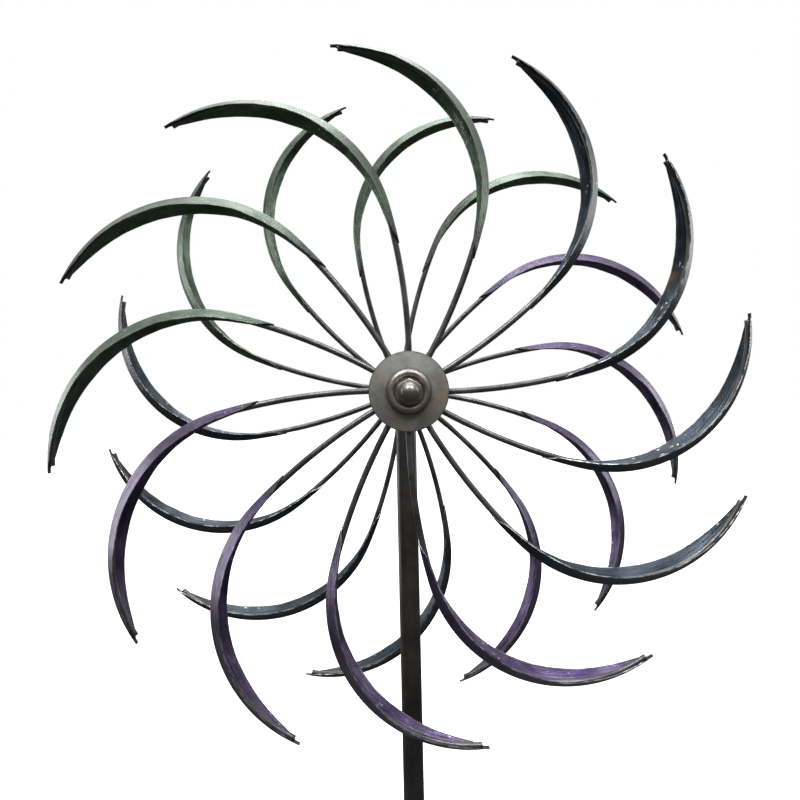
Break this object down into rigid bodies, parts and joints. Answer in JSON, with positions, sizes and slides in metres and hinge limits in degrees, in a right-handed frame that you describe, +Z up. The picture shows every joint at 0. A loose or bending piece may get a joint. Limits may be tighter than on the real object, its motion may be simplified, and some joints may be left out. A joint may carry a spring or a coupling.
{
  "type": "kinetic wind spinner",
  "caption": "Garden wind spinner with two counter-swept rotors of crescent sheet-metal blades on one axle, on a slim pole with a two-pronged ground fork.",
  "frame": {"origin": "on the ground line, at the centre of the step bar's underside, under the pole's axis", "axes": "+Z up along the pole, the front rotor faces -Y, +X to the right seen from the front"},
  "size_m": [0.6014, 0.2026, 1.9007],
  "materials": {
    "leaf_green": "satin metallic green over dark steel",
    "leaf_blue": "satin metallic slate blue over dark steel",
    "leaf_purple": "satin metallic purple over dark steel",
    "rod_metal": "satin gunmetal",
    "hub_metal": "satin gunmetal, faint warm patches",
    "washer_metal": "worn brown-grey steel",
    "nut_metal": "polished dark nickel",
    "bush_bronze": "plain oiled bronze",
    "pole_paint": "satin black-brown powder coat"
  },
  "bodies": {
    "stand": {"ground_fork": "pole_paint", "pole_lower": "pole_paint", "pole_upper": "pole_paint", "pivot_head": "pole_paint", "axle_bolt": "nut_metal", "front_cap_nut": "nut_metal", "front_cup_washer": "washer_metal", "rear_cup_washer": "washer_metal"},
    "front_rotor": {"front_hub": "hub_metal", "front_bush": "bush_bronze", "front_rod_01": "rod_metal", "front_leaf_01": "leaf_green", "front_rod_02": "rod_metal", "front_leaf_02": "leaf_blue", "front_rod_03": "rod_metal", "front_leaf_03": "leaf_blue", "front_rod_04": "rod_metal", "front_leaf_04": "leaf_blue", "front_rod_05": "rod_metal", "front_leaf_05": "leaf_blue", "front_rod_06": "rod_metal", "front_leaf_06": "leaf_purple", "front_rod_07": "rod_metal", "front_leaf_07": "leaf_purple", "front_rod_08": "rod_metal", "front_leaf_08": "leaf_purple", "front_rod_09": "rod_metal", "front_leaf_09": "leaf_purple", "front_rod_10": "rod_metal", "front_leaf_10": "leaf_green", "front_rod_11": "rod_metal", "front_leaf_11": "leaf_green", "front_rod_12": "rod_metal", "front_leaf_12": "leaf_green"},
    "rear_rotor": {"rear_hub": "hub_metal", "rear_bush": "bush_bronze", "rear_rod_01": "rod_metal", "rear_leaf_01": "leaf_green", "rear_rod_02": "rod_metal", "rear_leaf_02": "leaf_green", "rear_rod_03": "rod_metal", "rear_leaf_03": "leaf_purple", "rear_rod_04": "rod_metal", "rear_leaf_04": "leaf_purple", "rear_rod_05": "rod_metal", "rear_leaf_05": "leaf_purple", "rear_rod_06": "rod_metal", "rear_leaf_06": "leaf_purple", "rear_rod_07": "rod_metal", "rear_leaf_07": "leaf_blue", "rear_rod_08": "rod_metal", "rear_leaf_08": "leaf_blue", "rear_rod_09": "rod_metal", "rear_leaf_09": "leaf_blue", "rear_rod_10": "rod_metal", "rear_leaf_10": "leaf_blue", "rear_rod_11": "rod_metal", "rear_leaf_11": "leaf_green", "rear_rod_12": "rod_metal", "rear_leaf_12": "leaf_green"}
  },
  "joints": [
    {"name": "front_spin", "type": "hinge", "parent": "stand", "child": "front_rotor", "pos_m": [0, -0.076, 1.37], "axis": [0, 1, 0], "continuous": true},
    {"name": "rear_spin", "type": "hinge", "parent": "stand", "child": "rear_rotor", "pos_m": [0, 0.076, 1.37], "axis": [0, 1, 0], "continuous": true}
  ]
}
